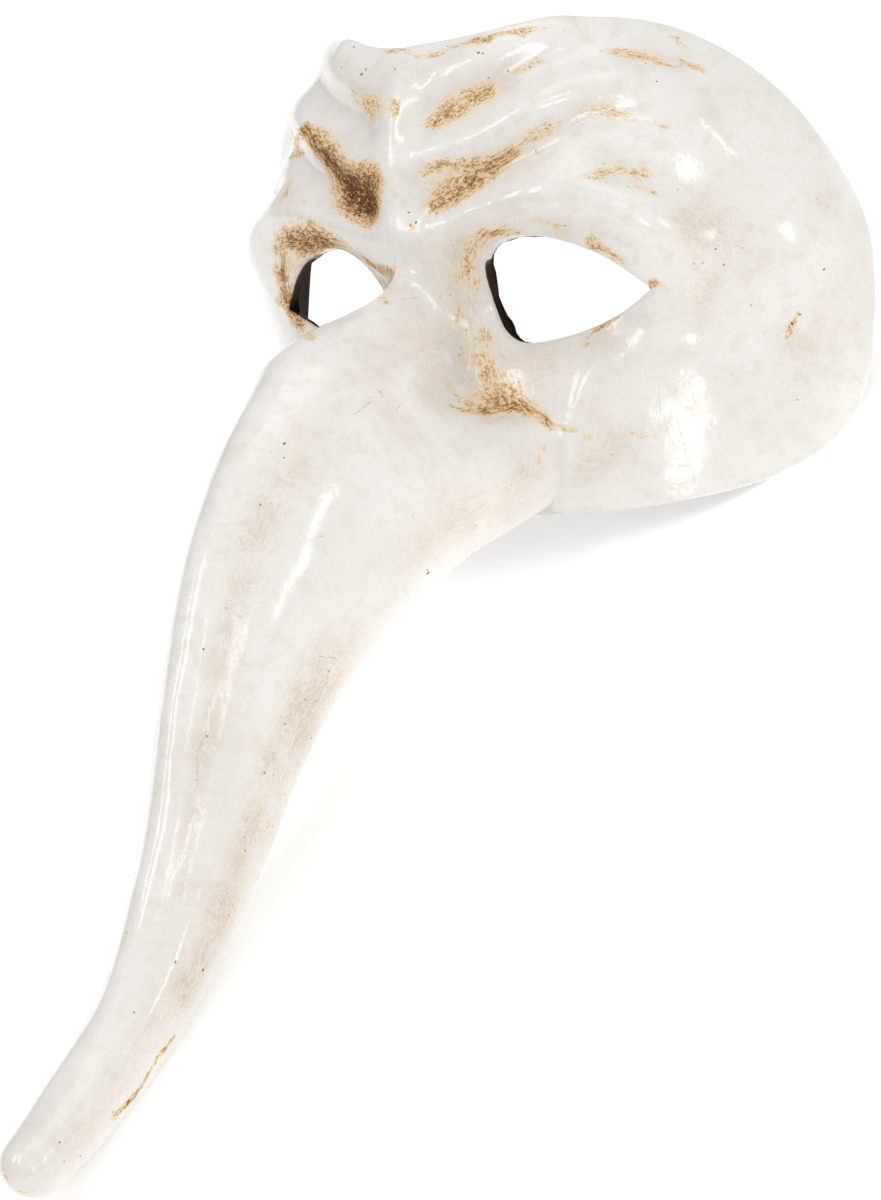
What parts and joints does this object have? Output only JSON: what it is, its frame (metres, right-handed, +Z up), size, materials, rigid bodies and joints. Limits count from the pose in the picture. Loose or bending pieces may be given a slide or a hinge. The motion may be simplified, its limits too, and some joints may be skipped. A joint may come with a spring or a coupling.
{
  "type": "zanni mask",
  "caption": "White papier-mache zanni half mask with frowning brow wrinkles, two eye holes and a very long hollow curved nose; it lies face up.",
  "frame": {"origin": "centre of the bounding box on the floor that the mask lies on", "axes": "+Z up from the floor, -Y along the nose towards its tip, +Y towards the back of the brow, +X to the mask's own left"},
  "size_m": [0.175, 0.2982, 0.1055],
  "materials": {
    "mask": "glossy cream white lacquer over papier-mache, stained brown in its grooves"
  },
  "bodies": {
    "root": {"mask": "mask"}
  },
  "joints": []
}
